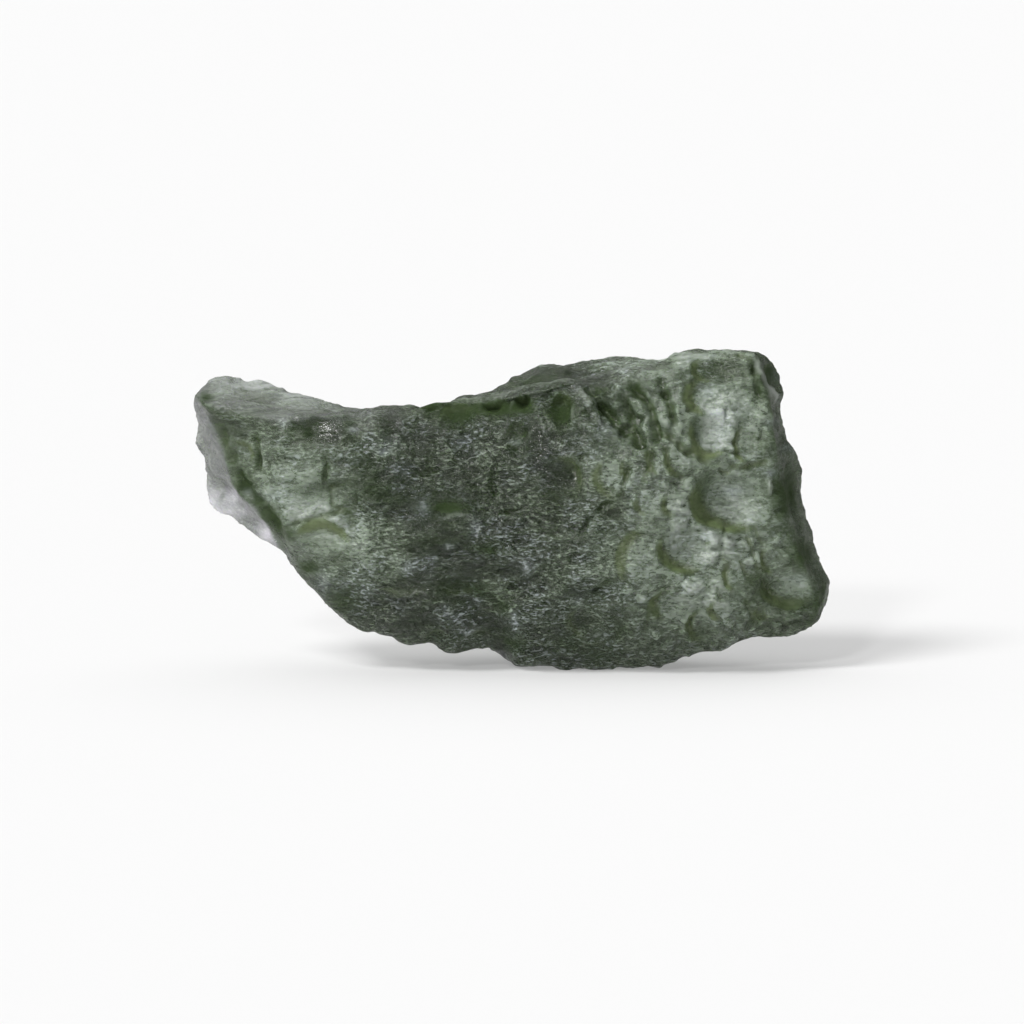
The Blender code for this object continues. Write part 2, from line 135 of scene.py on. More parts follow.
# Narrow cuts: (half width, depth, how much painted shade darkens the inside, [points along the cut])
frontCuts = [
    (0.30, 0.30, 0.55, [(3.58, 13.25), (4.15, 12.74), (4.76, 11.93), (5.42, 11.23), (6.27, 10.42)]),
    (0.22, 0.24, 0.5, [(5.19, 12.97), (5.47, 12.17), (5.66, 11.37), (6.18, 10.61)]),
    (0.26, 0.28, 0.5, [(5.57, 13.54), (6.08, 12.97), (6.51, 12.41), (6.65, 11.46), (6.75, 10.71)]),
    (0.26, 0.28, 0.5, [(6.98, 13.77), (7.22, 13.11), (7.5, 12.31), (7.74, 11.56)]),
    (0.33, 0.26, 0.35, [(6.75, 11.37), (7.36, 11.18), (7.92, 10.66), (8.73, 10.14), (9.72, 9.91)]),
    (0.21, 0.2, 0.2, [(8.07, 13.73), (8.07, 12.97), (8.4, 12.26)]),
    (0.19, 0.2, 0.3, [(7.03, 10.9), (7.17, 10.24), (7.41, 9.58), (7.97, 9.15), (8.44, 9.29)]),
    (0.14, 0.14, 0.2, [(6.51, 10.71), (6.6, 9.95), (6.23, 9.39), (6.04, 8.82)]),
    (0.17, 0.16, 0.3, [(5.47, 9.95), (5.38, 9.34), (5.09, 8.63), (5.19, 8.11)]),
    (0.21, 0.16, 0, [(10.14, 9.67), (10.99, 9.72), (12.08, 10)]),
    (0.14, 0.12, 0.2, [(11.23, 7.03), (11.56, 6.42), (11.89, 5.94)]),
    (0.14, 0.12, 0, [(10.99, 6.56), (11.32, 5.71), (11.56, 4.72)]),
    (0.12, 0.1, 0, [(10.66, 5.42), (10.94, 4.76), (11.27, 4.2)]),
    (0.19, 0.12, 0, [(11.56, 4.72), (11.93, 4.01), (12.5, 3.35)]),
    (0.14, 0.1, 0, [(11.51, 3.35), (11.79, 2.88), (12.08, 2.41)]),
    (0.17, 0.12, 0.2, [(10.94, 3.54), (11.23, 2.78), (11.51, 2.17)]),
    (0.17, 0.08, 0, [(9.91, 5.57), (10.09, 4.39)]),
    (0.14, 0.09, 0, [(9.62, 4.01), (9.86, 3.16)]),
    (0.21, 0.18, 0.6, [(3.3, 6.7), (3.68, 7.26), (4.15, 7.78), (4.81, 8.11)]),
    (0.17, 0.16, 0.5, [(3.73, 3.49), (3.96, 3.96), (4.39, 4.25), (5.05, 4.43)]),
    (0.15, 0.12, 0.3, [(6.56, 3.54), (6.42, 2.59), (6.08, 1.56)]),
    (0.21, 0.18, 0.8, [(11.32, 14.67), (11.37, 13.82), (11.7, 12.97)]),
    (0.14, 0.12, 0.6, [(11.98, 14.48), (12.22, 13.82), (12.45, 13.16)]),
    (0.21, 0.16, 0.6, [(-12.03, 11.18), (-11.84, 10.42), (-11.89, 9.48)]),
    (0.16, 0.16, 0.6, [(-8.77, 10.52), (-8.68, 9.67), (-8.82, 8.77)]),
    (0.11, 0.09, 0.4, [(-8.44, 8.49), (-8.35, 7.41)]),
    (0.15, 0.1, 0.4, [(-3.92, 10.42), (-3.82, 9.39)]),
    (0.17, 0.14, 0.5, [(-0.75, 9.95), (-0.94, 9.1), (-0.75, 8.16)]),
    (0.19, 0.12, 0.3, [(-10.71, 6.89), (-9.15, 7.36), (-8.02, 7.64), (-7.55, 7.45), (-7.45, 6.75)]),
    (0.38, 0.16, 0.45, [(-13.82, 12.22), (-13.49, 10.99), (-13.02, 9.76)]),
    (0.38, 0.2, 0.9, [(-12.92, 9.58), (-12.55, 8.73), (-11.7, 7.83)]),
    (0.33, 0.2, 0.8, [(-11.79, 7.88), (-11.18, 7.12), (-10.61, 6.27)]),
    (0.14, 0.08, 0.4, [(2.64, 9.48), (3.16, 9.67), (3.25, 10.28)]),
    (0.14, 0.09, 0.2, [(10.52, 14.91), (11.27, 14.67)]),
    (0.14, 0.12, 0.4, [(1.13, 7.78), (0, 7.59), (-0.94, 7.5)]),
    (0.14, 0.1, 0.4, [(4.15, 8.77), (4.86, 8.54), (5.09, 8.02)]),
    (0.14, 0.1, 0.4, [(-7.88, 8.82), (-8.49, 8.73), (-8.44, 7.83), (-7.31, 7.78), (-7.26, 8.63)]),
]
# Thin lines that stand proud: (half width, rise, how bright their painted highlight is, [points
# along the line])
frontRidges = [
    (0.16, 0.12, 1, [(11.46, 14.72), (11.75, 13.92), (12.12, 13.21), (12.31, 12.74)]),
    (0.11, 0.08, 0.25, [(-2.83, 12.74), (-1.51, 12.88), (-0.47, 13.02), (0.47, 13.35),
        (1.6, 13.54), (2.74, 13.77), (4.15, 13.96), (5.66, 14.25)]),
    (0.09, 0.05, 0.2, [(-0.57, 12.78), (0.38, 13.07), (1.56, 13.25)]),
    (0.15, 0.1, 0.35, [(2.78, 12.69), (2.83, 11.75)]),
    (0.21, 0.1, 0.3, [(2.92, 13.63), (3.49, 12.78), (4.1, 11.75), (4.72, 10.94)]),
    (0.08, 0.08, 0.45, [(0.99, 12.59), (1.37, 11.89), (1.6, 11.08), (2.17, 10.71), (2.55, 10.42)]),
    (0.08, 0.08, 0.4, [(1.37, 12.55), (1.7, 11.75), (2.08, 11.18)]),
    (0.1, 0.06, 0.8, [(12.08, 9.1), (12.12, 8.4)]),
    (0.09, 0.06, 0.35, [(-11.7, 10.9), (-11.7, 9.58)]),
    (0.14, 0.05, 0.3, [(-3.35, 7.22), (-2.69, 7.45), (-1.98, 7.36), (-1.51, 6.84), (-1.7, 6.27)]),
    (0.14, 0.05, 0.2, [(-0.66, 5.52), (0, 5.66), (0.61, 5.33), (0.75, 4.76)]),
    (0.09, 0.05, 0.35, [(-1.51, 12.26), (-1.42, 12.88)]),
    (0.09, 0.05, 0.35, [(-0.09, 12.31), (0.05, 12.78)]),
]
# The front edge of the top ledge, and the edges of the slanting ends: (along, height)
ledgeLine = [
    (-14.48, 12.69), (-14.01, 12.22), (-12.83, 11.98), (-10.94, 11.89), (-10, 12.03), (-7.88, 12.03),
    (-7.08, 12.36), (-6.23, 12.26), (-4.34, 12.5), (-2.69, 12.74), (-0.57, 12.92), (1.56, 13.3),
    (2.74, 13.63), (4.15, 13.82), (6.27, 14.15), (8.4, 14.67),
]
leftEdge = [
    (-14.58, 12.69), (-13.87, 11.46), (-13.49, 10.42), (-13.16, 9.34), (-12.78, 8.3), (-11.98, 7.78),
    (-11.42, 6.98), (-10.8, 6.04),
]
rightEdge = [
    (11.56, 14.86), (11.79, 12.88), (12.08, 10.99), (12.03, 9.81), (12.08, 7.92), (12.55, 6.84),
    (13.21, 5.8), (13.82, 4.76), (14.43, 3.44), (14.62, 2.5),
]
# How far the underside is lifted off the floor beside the spot that it rests on: (along, lift)
underLift = [
    (-0.9, 0.0), (0.05, 0.22), (0.95, 0.10), (1.9, 0.20), (2.6, 0.05), (2.9, 0.0), (4.3, 0.0),
    (5.1, 0.16), (5.7, 0.20), (6.4, 0.28), (7.6, 0.0),
]
# Spots are (along, height, half width, half height, amount). Windows are smooth and olive, with no
# milk; dark spots are painted darker: painted shade under the ledge, in pockets and on the right
# end, and darker places elsewhere; glint spots are painted highlights, pale and bluish; the milk
# patches and the ledge patches say where the milky skin is thick or thin.
windows = [
    (-8.96, 11.42, 1.08, 0.57, 0.95), (-5.66, 11.7, 0.42, 0.61, 0.9),
    (-13.07, 11.46, 0.52, 0.42, 0.6), (1.23, 10.71, 0.47, 0.61, 0.8), (2.36, 9.2, 0.94, 0.8, 0.8),
    (0.33, 11.32, 0.47, 0.33, 0.6), (0.33, 10.52, 0.42, 0.33, 0.5), (1.08, 13.92, 1.42, 0.38, 0.35),
    (9.81, 8.16, 0.66, 0.47, 0.3), (4.62, 7.59, 0.57, 0.28, 0.7), (-9.06, 6.27, 1.42, 0.66, 0.5),
    (-10.94, 7.22, 0.66, 0.57, 0.5), (-4.58, 4.15, 1.23, 0.57, 0.6), (9.81, 14.2, 1.04, 0.52, 0.6),
    (7.22, 3.92, 1.04, 0.38, 0.5), (11.7, 4.15, 0.57, 0.66, 0.6), (-4.34, 10.52, 0.57, 0.57, 0.4),
    (-8.11, 5.33, 0.66, 0.47, 0.4), (-2.92, 7.78, 0.94, 0.28, 0.5),
]
darkSpots = [
    (12.88, 8.44, 0.85, 1.7, 1), (13.73, 5.66, 0.57, 0.9, 1), (12.08, 14.01, 0.66, 0.9, 1),
    (14.58, 3.82, 0.42, 1.13, 0.75), (13.58, 3.16, 1.04, 0.33, 0.5),
    (-14.39, 12.97, 0.42, 0.33, 0.9), (-12.36, 12.17, 1.89, 0.19, 0.35),
    (-12.55, 8.82, 0.47, 0.57, 0.8), (-11.51, 7.5, 0.57, 0.57, 0.7),
    (-10.47, 6.56, 0.33, 0.38, 0.7), (-3.87, 12.5, 0.52, 0.28, 0.8),
    (-2.64, 11.93, 0.94, 0.66, 0.6), (-0.9, 12.5, 0.66, 0.38, 1), (0.52, 12.59, 0.47, 0.38, 1),
    (2.36, 12.22, 0.57, 0.8, 0.9), (-2.92, 7.78, 1.13, 0.33, 0.8), (-1.13, 5.85, 0.71, 0.24, 0.9),
    (-2.45, 4.15, 1.13, 0.28, 0.6), (-1.51, 3.77, 0.47, 0.38, 0.6), (-0.47, 3.25, 0.47, 0.33, 0.5),
    (-3.54, 1.7, 0.61, 0.57, 0.5), (0.14, 1.42, 0.61, 0.52, 0.7), (-9.53, 5, 0.57, 0.28, 0.8),
    (-7.97, 3.35, 0.71, 0.66, 0.6), (-3.4, 6.27, 1.42, 0.14, 0.5), (-7.64, 7.59, 0.38, 0.38, 0.6),
    (-6.46, 8.63, 0.75, 0.38, 0.5), (-5.52, 8.16, 0.66, 0.24, 0.5), (0.33, 11.23, 0.57, 0.38, 0.5),
    (0.33, 10.52, 0.52, 0.38, 0.5), (2.26, 8.4, 1.04, 0.42, 0.5), (2.74, 1.56, 0.66, 0.57, 0.5),
    (4.15, 0.85, 0.94, 0.38, 0.4), (8.87, 1.56, 0.42, 0.42, 0.4), (4.95, 2.03, 0.66, 0.47, 0.4),
    (5.8, 13.44, 0.38, 0.28, 0.8), (4.01, 13.21, 0.57, 0.28, 0.8), (-6.98, 9.58, 0.57, 0.38, 0.4),
    (11.89, 10.71, 0.66, 0.47, 0.35), (-7.64, 11.7, 0.42, 0.38, 0.5),
    (0.7, 13.75, 2.1, 0.5, 0.6), (-0.57, 12.3, 2.92, 0.5, 0.75), (-3.16, 7.92, 1.7, 1.23, 0.33),
]
glintSpots = [
    (-10.71, 11.7, 0.24, 0.24, 0.9), (-7.45, 11.42, 0.24, 0.14, 1), (-6.08, 10.38, 0.28, 0.14, 1),
    (-4.81, 4.95, 0.38, 0.28, 0.8), (-4.15, 7.78, 0.28, 0.42, 0.8), (-1.75, 6.89, 0.28, 0.42, 0.8),
    (0.71, 5.05, 0.28, 0.42, 0.8), (0.14, 2.55, 0.19, 0.47, 0.9), (-2.08, 1.89, 0.33, 0.19, 1),
    (-8.82, 4.29, 0.42, 0.52, 0.7), (9.1, 6.42, 0.33, 0.19, 0.8), (12.31, 13.92, 0.19, 0.33, 0.6),
    (10.38, 8.49, 0.47, 0.24, 1), (9.58, 12.17, 0.42, 0.19, 1), (9.25, 13.3, 0.38, 0.28, 0.7),
    (12.17, 9.39, 0.24, 0.19, 1), (13.44, 4.39, 0.52, 0.28, 0.6), (-12.5, 8.49, 0.19, 0.19, 0.8),
    (-11.18, 8.3, 0.66, 0.24, 0.5), (-2.92, 5.99, 0.28, 0.19, 0.8), (-2.83, 2.69, 0.42, 0.28, 0.6),
    (-5.85, 10.75, 0.75, 0.47, 0.5), (-2.36, 10.85, 0.42, 0.19, 0.7),
    (-3.16, 3.07, 0.19, 0.24, 0.7), (-1.6, 3.44, 0.28, 0.14, 0.7), (3.07, 3.44, 0.24, 0.24, 0.6),
    (5.19, 14.25, 0.38, 0.24, 0.5), (12.17, 11.75, 0.33, 0.24, 0.5),
    (12.97, 10.52, 0.47, 0.19, 0.6), (9.81, 11.46, 0.47, 0.47, 0.5),
    (4.34, 11.46, 0.42, 0.42, 0.4), (0.14, 10.85, 0.33, 0.14, 0.7), (-3.87, 5.33, 0.42, 0.28, 0.5),
    (-6.79, 3.92, 0.38, 0.28, 0.5), (-5.28, 9.58, 0.57, 0.28, 0.5),
]
milkPatches = [
    (9.91, 7.92, 4.62, 7.08, 0.56), (9.43, 11.7, 0.94, 1.6, 0.32),
    (10.66, 12.88, 1.04, 1.23, 0.26), (6.04, 12.17, 2.08, 1.6, 0.14),
    (7.22, 5.33, 2.36, 3.3, 0.14), (5.09, 5.09, 1.42, 2.83, 0.14), (4.39, 9.81, 1.23, 1.7, 0.28),
    (-10, 8.63, 2.36, 1.7, 0.55), (-8.96, 6.51, 2.08, 1.32, 0.78), (-12.83, 10.52, 1.13, 1.23, 0.3),
    (-7.88, 8.3, 0.61, 0.52, 0.2), (12.64, 11.7, 1.04, 1.13, 0.1),
    (-0.57, 12.17, 3.77, 0.75, -0.16), (-6.7, 5.33, 2.08, 1.6, 0.32),
    (-1.51, 1.51, 0.94, 0.42, 0.14), (-10, 10.52, 2.08, 0.94, 0.14),
    (-3.16, 7.92, 1.89, 1.6, -0.2), (2.26, 1.08, 2.83, 0.75, -0.06),
    (8.87, 3.44, 2.83, 1.23, 0.2), (2.26, 6.27, 2.83, 1.42, 0.12),
    (-1.75, 10.28, 1.42, 0.94, 0.08), (13.4, 4.01, 0.85, 0.57, 0.34),
    (9.58, 6.75, 1.89, 0.75, 0.1), (10.52, 8.25, 1.32, 0.85, 0.14), (2.74, 3.44, 1.89, 1.13, 0.06),
]
ledgePatches = [
    (-12.08, 13.54, 1.98, 0.33, 0.64), (-10.19, 13.07, 1.32, 0.33, 0.4),
    (-12.59, 12.5, 2.17, 0.38, -0.1), (-8.35, 12.64, 1.23, 0.28, 0.22),
    (6.04, 14.48, 2.36, 0.47, 0.3), (1.32, 13.73, 2.83, 0.66, -0.56),
    (8.4, 14.76, 1.89, 0.38, 0.24),
]
# Painted white glow in the low part of the left end
whiteSpots = [
    (-14.15, 8.16, 0.61, 0.52, 0.95), (-13.11, 8.3, 0.38, 0.38, 0.8),
    (-13.49, 7.5, 1.04, 0.38, 0.95), (-11.46, 6.6, 0.52, 0.71, 0.95),
]


def ease(value):
    value = np.clip(value, 0, 1)
    return value * value * (3 - 2 * value)


def patchWeight(a, b, patch):
    return np.exp(-((a - patch[0]) / patch[2]) ** 2 - ((b - patch[1]) / patch[3]) ** 2)


def softNoise(points, size, seed):
    # waves from -1 to 1, whose size along X, Y and Z is given in mm
    shift = Vector((seed * 13.7, seed * 5.1, seed * 9.3))
    scaled = points / np.array(size)
    return np.array([noise.noise(Vector(p) + shift) for p in scaled])


def pebbleNoise(points, size, seed):
    # domes from 0 in the seams between them to 1 on top
    shift = Vector((seed * 7.7, seed * 3.9, seed * 11.3))
    warp = 0.35 * softNoise(points, size, seed + 20)
    scaled = points / np.array(size) + warp[:, None]
    seams = np.empty(len(points))
    for index, p in enumerate(scaled):
        near = noise.voronoi(Vector(p) + shift)[0]
        seams[index] = near[1] - near[0]
    return ease(seams / 0.65)


def bowlCut(a, b, bowl, wobble):
    # how deep one bowl cuts here, and where its steep wall, its rim of painted shade and its milky
    # floor are
    centreA, centreB, halfWidth, halfHeight, depth, side = bowl
    left = (a - centreA) / halfWidth
    up = (b - centreB) / halfHeight
    away = np.hypot(left, up) + 0.13 * wobble
    angle = np.arctan2(up, left) - math.radians(side)
    facing = ease((np.cos(angle) + 0.25) / 1.25)
    width = 0.95 - 0.60 * facing
    cut = depth * ease((1 - away) / width)
    wall = facing * ease((1.03 - away) * 13) * ease((away - 0.45 - 0.35 * (1 - facing)) * 3.2)
    lip = 0.14 * depth * facing * np.exp(-((away - 1.1) / 0.12) ** 2)
    rim = facing * np.exp(-((away - 0.92) / 0.09) ** 2) * min(depth / 0.3, 1)
    floor = ease((1 - away) * 2.2) * (1 - wall)
    return cut - lip, wall, rim, floor


def lineWeight(a, b, halfWidth, points, wobble):
    # 1 on a line of several points, 0 at its half width, thinner towards both ends
    nearest = np.full(len(a), 1000.0)
    share = np.zeros(len(a))
    steps = [math.dist(p, q) for p, q in zip(points, points[1:])]
    run = 0
    for (a0, b0), (a1, b1), step in zip(points, points[1:], steps):
        near = np.clip(((a - a0) * (a1 - a0) + (b - b0) * (b1 - b0)) / step ** 2, 0, 1)
        away = np.hypot(a - a0 - near * (a1 - a0), b - b0 - near * (b1 - b0))
        share = np.where(away < nearest, (run + near * step) / sum(steps), share)
        nearest = np.minimum(away, nearest)
        run += step
    taper = ease(4 * share + 0.35) * ease(4.35 - 4 * share)
    return ease(1.1 - nearest / halfWidth + 0.3 * wobble) * taper


def slantAway(a, b, edge, side):
    # how far a point lies beyond the edge of a slanting end, left (-1) or right (1) of it
    along, heights = np.array(edge[::-1]).T
    beyond = side * (a - np.interp(b, heights, along))
    inside = ease((b - heights[0] + 0.6) / 0.8) * ease((heights[-1] + 0.6 - b) / 0.8)
    return np.maximum(beyond, 0) * inside


def addSpots(a, b, spots, share):
    total = np.zeros(len(a))
    for spot in spots:
        total += spot[4] * patchWeight(a, b, spot) * share
    return total


def fineCopy():
    # a copy of the stone's solid, its loose triangles merged, with a much finer skin
    bpy.ops.object.select_all(action="DESELECT")
    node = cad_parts["moldavite"]
    piece = node.copy()
    piece.data = node.data.copy()
    piece.name = "moldaviteStone"
    piece.data.name = "moldaviteStone"
    piece.parent = None
    for key in list(piece.keys()):
        del piece[key]
    bpy.context.scene.collection.objects.link(piece)
    bpy.context.view_layer.objects.active = piece
    piece.select_set(True)
    bpy.ops.object.mode_set(mode="EDIT")
    bpy.ops.mesh.select_all(action="SELECT")
    bpy.ops.mesh.remove_doubles(threshold=0.00001)
    bpy.ops.mesh.tris_convert_to_quads(face_threshold=1.2, shape_threshold=1.2)
    bpy.ops.mesh.normals_make_consistent(inside=False)
    bpy.ops.object.mode_set(mode="OBJECT")
    rounder = piece.modifiers.new("rounder", "SUBSURF")
    rounder.levels = 2
    rounder.render_levels = 2
    bpy.ops.object.modifier_apply(modifier="rounder")
    fine = piece.modifiers.new("fineSkin", "REMESH")
    fine.mode = "VOXEL"
    fine.voxel_size = stone["skinStep"] * mm
    bpy.ops.object.modifier_apply(modifier="fineSkin")
    relax = piece.modifiers.new("relax", "SMOOTH")
    relax.factor = 0.5
    relax.iterations = 4
    bpy.ops.object.modifier_apply(modifier="relax")
    return piece


def readSkin(piece):
    mesh = piece.data
    count = len(mesh.vertices)
    places = np.empty(count * 3)
    mesh.vertices.foreach_get("co", places)
    normals = np.empty(count * 3)
    mesh.vertices.foreach_get("normal", normals)
    edges = np.empty(len(mesh.edges) * 2, dtype=np.int64)
    mesh.edges.foreach_get("vertices", edges)
    return places.reshape(-1, 3) / mm, normals.reshape(-1, 3), edges.reshape(-1, 2)


def blur(values, edges, passes):
    # each point takes the mean of its neighbours, again and again
    values = values.astype(float)
    ends = np.concatenate([edges[:, 0], edges[:, 1]])
    others = np.concatenate([edges[:, 1], edges[:, 0]])
    count = np.bincount(ends, minlength=len(values))
    for _ in range(passes):
        if values.ndim == 1:
            mean = np.bincount(ends, weights=values[others], minlength=len(values)) / count
        else:
            mean = np.stack([
                np.bincount(ends, weights=values[others, axis], minlength=len(values)) / count
                for axis in range(values.shape[1])
            ], axis=1)
        values = 0.5 * values + 0.5 * mean
    return values


def storeMask(piece, name, values):
    mask = piece.data.attributes.new(name, "FLOAT", "POINT")
    mask.data.foreach_set("value", np.clip(values, 0, 1).astype(np.float32))


def lookAround(piece):
    # where each point of the skin lies, and which way the skin there faces
    places, normals, edges = readSkin(piece)
    facing = blur(normals, edges, 30)
    facing /= np.linalg.norm(facing, axis=1)[:, None]
    x, y, z = places.T
    height = z * math.cos(viewTilt) + y * math.sin(viewTilt) + seenFloor
    skin = SimpleNamespace(places=places, edges=edges, facing=facing, x=x, y=y, z=z, height=height)
    skin.front = ease((-facing[:, 1] - 0.15) / 0.35)
    skin.back = ease((facing[:, 1] - 0.15) / 0.35)
    skin.seen = 1 - skin.back
    skin.top = ease((facing[:, 2] - 0.45) / 0.3)
    skin.leftEnd = ease((-facing[:, 0] - 0.35) / 0.3)
    skin.rightEnd = ease((facing[:, 0] - 0.35) / 0.3)
    skin.ends = np.maximum(skin.leftEnd, skin.rightEnd)
    skin.below = np.interp(x, *np.array(ledgeLine).T) - height
    skin.wobble = softNoise(places, (1.1, 1.1, 1.1), 1)
    skin.jagged = 0.6 * skin.wobble + softNoise(places, (0.5, 0.7, 0.5), 11)
    skin.depth = np.zeros(len(x))
    return skin


def letWander(skin):
    # on faces turned away from the front the places wander, so that nothing runs straight back
    y = skin.y
    ends = skin.ends
    turned = np.maximum(ends * ease((y + 1.0) / 3), skin.top * ease((y + 1.5) / 3)) * skin.seen
    skin.turned = turned
    skin.shown = skin.seen * (1 - 0.4 * turned)
    alongNoise = softNoise(skin.places, (1.6, 1.0, 1.6), 15)
    upNoise = softNoise(skin.places, (1.6, 1.0, 1.6), 16)
    skin.spotX = skin.x + stone["wander"] * turned * alongNoise
    skin.spotUp = skin.height + stone["wander"] * np.maximum(ends, 0.3) * turned * upNoise
    driftNoise = softNoise(skin.places, (1.8, 1.1, 2.2), 21)
    drift = stone["endDrift"] * ends * ease((y + 3.5) / 2.5) * driftNoise
    skin.leftSlant = slantAway(skin.x, skin.height + drift, leftEdge, -1)
    skin.rightSlant = slantAway(skin.x, skin.height + drift, rightEdge, 1)


def findCalm(skin):
    # smooth olive windows, and how calm the skin is there, on the ends and on the ledge
    skin.window = np.clip(addSpots(skin.spotX, skin.spotUp, windows, skin.shown), 0, 1)
    calm = 0.5 * skin.rightEnd + 0.5 * skin.leftEnd + 0.3 * skin.top + skin.window
    skin.calm = np.clip(calm, 0, 0.9)


def cutBowls(skin):
    skin.wall = np.zeros(len(skin.x))
    skin.rim = np.zeros(len(skin.x))
    skin.floor = np.zeros(len(skin.x))
    for bowls, share in ((frontBowls, skin.front), (backBowls, skin.back)):
        for bowl in bowls:
            cut, wall, rim, floor = bowlCut(skin.x, skin.height, bowl, skin.wobble)
            skin.depth += stone["bowlDepth"] * cut * share
            skin.rim = np.maximum(skin.rim, rim * share)
            skin.wall = np.maximum(skin.wall, wall * share)
            skin.floor = np.maximum(skin.floor, floor * share)
    print("bowls cut")


def cutLines(skin):
    skin.groove = np.zeros(len(skin.x))
    skin.olive = np.zeros(len(skin.x))
    skin.dark = np.zeros(len(skin.x))
    broken = ease(0.6 + 1.3 * skin.jagged)
    for halfWidth, depth, darkness, points in frontCuts:
        weight = lineWeight(skin.x, skin.height, halfWidth, points, skin.jagged) * skin.front
        weight *= 0.55 + 0.45 * broken
        skin.depth += stone["cutDepth"] * depth * weight * (1 - skin.groove)
        skin.groove = np.maximum(skin.groove, weight)
        skin.olive = np.maximum(skin.olive, (1 - darkness) * weight)
        skin.dark = np.maximum(skin.dark, darkness * weight)
    print("cuts made")


def raiseRidges(skin):
    skin.pale = np.zeros(len(skin.x))
    broken = ease(0.6 + 1.3 * skin.jagged)
    for halfWidth, rise, paleness, points in frontRidges:
        weight = lineWeight(skin.spotX, skin.spotUp, halfWidth, points, skin.jagged) * skin.shown
        weight *= 0.4 + 0.6 * broken
        skin.depth -= rise * weight
        skin.pale = np.maximum(skin.pale, paleness * weight)
    print("ridges raised")


def raiseLumps(skin):
    # pebbly lumps on the right and on the back, knobs among the ribs, and dots low on the front
    x = skin.x
    height = skin.height
    size = stone["pebbleSize"]
    skin.pebbles = pebbleNoise(skin.places, (size, 1.4, 0.9 * size), 2)
    zone = ease((x - 3.5) / 2.5) * ease((14.2 - height) / 1.5) * skin.front + 0.6 * skin.back
    zone = np.clip(zone, 0, 1) * (1 - 0.85 * skin.floor) * (1 - skin.rightEnd)
    skin.pebbleZone = zone * (1 - 0.7 * skin.groove)
    skin.depth += skin.pebbleZone * stone["pebbleRise"] * (0.75 - skin.pebbles)
    skin.ribZone = patchWeight(x, height, ribPlace) * skin.front * (1 - skin.floor)
    knobs = softNoise(skin.places, stone["knobSize"], 14)
    skin.depth -= stone["knobRise"] * skin.ribZone * knobs
    dots = pebbleNoise(skin.places, stone["dotSize"], 3)
    dotZone = patchWeight(x, height, dotPlace) * skin.front
    skin.depth += stone["dotRise"] * dotZone * (0.6 - dots)
    print("lumps raised")


def etchSkin(skin):
    # horizontal etch waves, steps along the outline and lumps on the ends
    places = skin.places
    size = stone["etchSize"]
    flow = softNoise(places, (1.9, 1.2, 0.75), 4)
    etch = softNoise(places + 0.3 * flow[:, None], (2.6 * size, 2 * size, size), 5)
    etchFine = softNoise(places, (1.6 * size, 2 * size, 0.62 * size), 6)
    zone = (1 - 0.6 * skin.pebbleZone) * (1 - 0.6 * skin.floor)
    zone = zone * (1 - skin.calm) * (1 - 0.7 * skin.ribZone)
    skin.depth -= zone * stone["etchRise"] * ((1 - 2 * np.abs(etch)) + 0.6 * etchFine)
    edgeOn = ease(1.25 - 1.6 * np.abs(skin.facing[:, 1])) * (1 - 0.5 * skin.top)
    skin.depth -= stone["outlineRise"] * edgeOn * softNoise(places, (0.95, 1.3, 0.95), 19)
    lumps = softNoise(places, (1.5, 1.2, 1.5), 18)
    skin.depth -= stone["endRise"] * skin.ends * skin.turned * lumps
    return flow


def raiseSwells(skin, flow):
    # low swells and creases outside the bowl floors, and fine stripes on the ledge
    swell = softNoise(skin.places, (1.7, 1.5, 0.9), 7)
    creases = np.abs(softNoise(skin.places + 0.4 * flow[:, None], (1.6, 1.2, 0.6), 12))
    outside = 1 - skin.floor
    skin.depth -= outside * (1 - 0.3 * skin.calm) * stone["swellRise"] * swell
    skin.depth += outside * (1 - skin.calm) * stone["creaseRise"] * (creases - 0.25)
    layers = np.stack([skin.x, 0.4 * skin.y, skin.height + 0.25 * flow], axis=1)
    ledgeShare = ease((0.1 - skin.below) / 0.15) * (skin.top + 0.4) * skin.seen
    skin.stripes = softNoise(layers, (1.5, 1, 0.16), 8) * ledgeShare
    skin.depth += stone["stripeRise"] * skin.stripes
    print("skin etched")


def moveSkin(piece, skin):
    # press the relief in, let the ends and the part under the ledge fall back, lift the notches
    x = skin.x
    below = skin.below
    moved = skin.places - skin.facing * skin.depth[:, None]
    slant = stone["leftSlope"] * skin.leftSlant + stone["rightSlope"] * skin.rightSlant
    ledgeRun = ease((x + 6) / 3) * ease((5.0 - x) / 3) + 0.35 * ease((-7 - x) / 2)
    recess = ease(below / 0.32) * ease((1.5 - below) / 1.1) * (1 + 0.6 * skin.jagged)
    lip = np.exp(-((below + 0.07) / 0.12) ** 2)
    fallBack = stone["ledgeRecess"] * recess - stone["ledgeLip"] * lip
    fallBack = fallBack * ledgeRun * skin.seen * (1 - skin.turned)
    moved[:, 1] += slant * np.clip((1.5 - skin.y) / 4, 0, 1) + fallBack
    moved[:, 2] += ease((1.3 - skin.z) / 1.3) * np.interp(x, *np.array(underLift).T)
    moved[:, 2] -= stone["footPress"] * ease(1 - moved[:, 2] / 0.4)
    moved[:, 2] = np.maximum(moved[:, 2], 0)
    piece.data.vertices.foreach_set("co", (moved * mm).ravel())
    piece.data.update()
    bpy.ops.object.shade_smooth()


def storeHollows(piece, skin):
    # hollows of two sizes, measured on the moved skin; the finish paints shade into them
    skin.moved, normals, edges = readSkin(piece)
    soft = blur(skin.moved, edges, 6)
    softer = blur(soft, edges, 60)
    fineHollow = np.sum((soft - skin.moved) * normals, axis=1)
    wideHollow = np.sum((softer - soft) * normals, axis=1)
    storeMask(piece, "hollow", 0.5 + 6 * blur(fineHollow, edges, 1))
    storeMask(piece, "dip", 0.5 + 1.6 * wideHollow)


